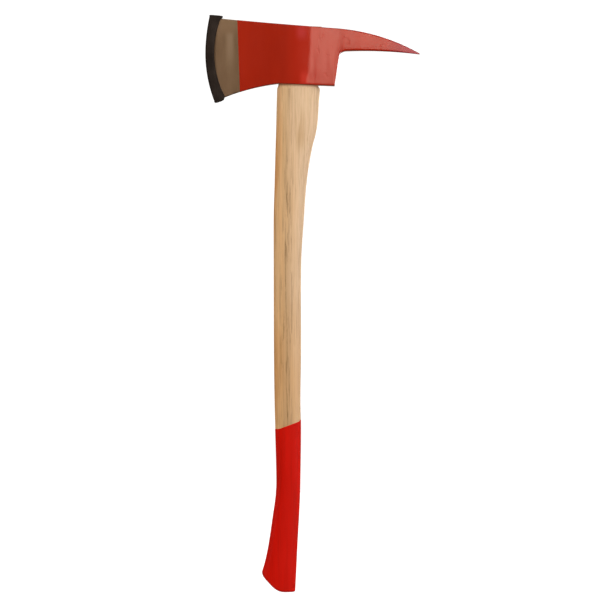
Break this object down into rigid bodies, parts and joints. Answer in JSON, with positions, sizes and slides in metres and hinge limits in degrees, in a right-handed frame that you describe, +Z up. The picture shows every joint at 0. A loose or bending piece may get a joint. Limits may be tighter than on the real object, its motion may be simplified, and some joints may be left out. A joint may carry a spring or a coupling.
{
  "type": "fire axe",
  "caption": "Pick-head fire axe: red forged head with a curved pick, wooden handle with a red dipped grip, and a black pull-off guard on the cutting edge.",
  "frame": {"origin": "middle of the eye where it opens in the head's underside, on the painted seat that a wall bracket carries", "axes": "+Z up along the handle through the head, +X towards the pick, -X towards the cutting edge, Y across the thickness"},
  "size_m": [0.3402, 0.0332, 0.9157],
  "materials": {
    "head_steel": "ground and oiled, brownish",
    "head_enamel": "gloss red enamel",
    "handle_wood": "clear-varnished pale ash",
    "grip_dip": "semi-gloss red dip coat",
    "wedge_wood": "raw hardwood",
    "wedge_steel": "mill finish",
    "guard_rubber": "matte black moulded"
  },
  "bodies": {
    "axe": {"axe_head": "head_steel", "head_enamel": "head_enamel", "handle": "handle_wood", "grip_coating": "grip_dip", "kerf_wedge": "wedge_wood", "steel_wedge_front": "wedge_steel", "steel_wedge_rear": "wedge_steel"},
    "guard": {"edge_guard": "guard_rubber"}
  },
  "joints": [
    {"name": "guard_slide", "type": "slide", "parent": "axe", "child": "guard", "axis": [-0.9992, 0, 0.0401], "range_m": [0, 0.04]}
  ]
}
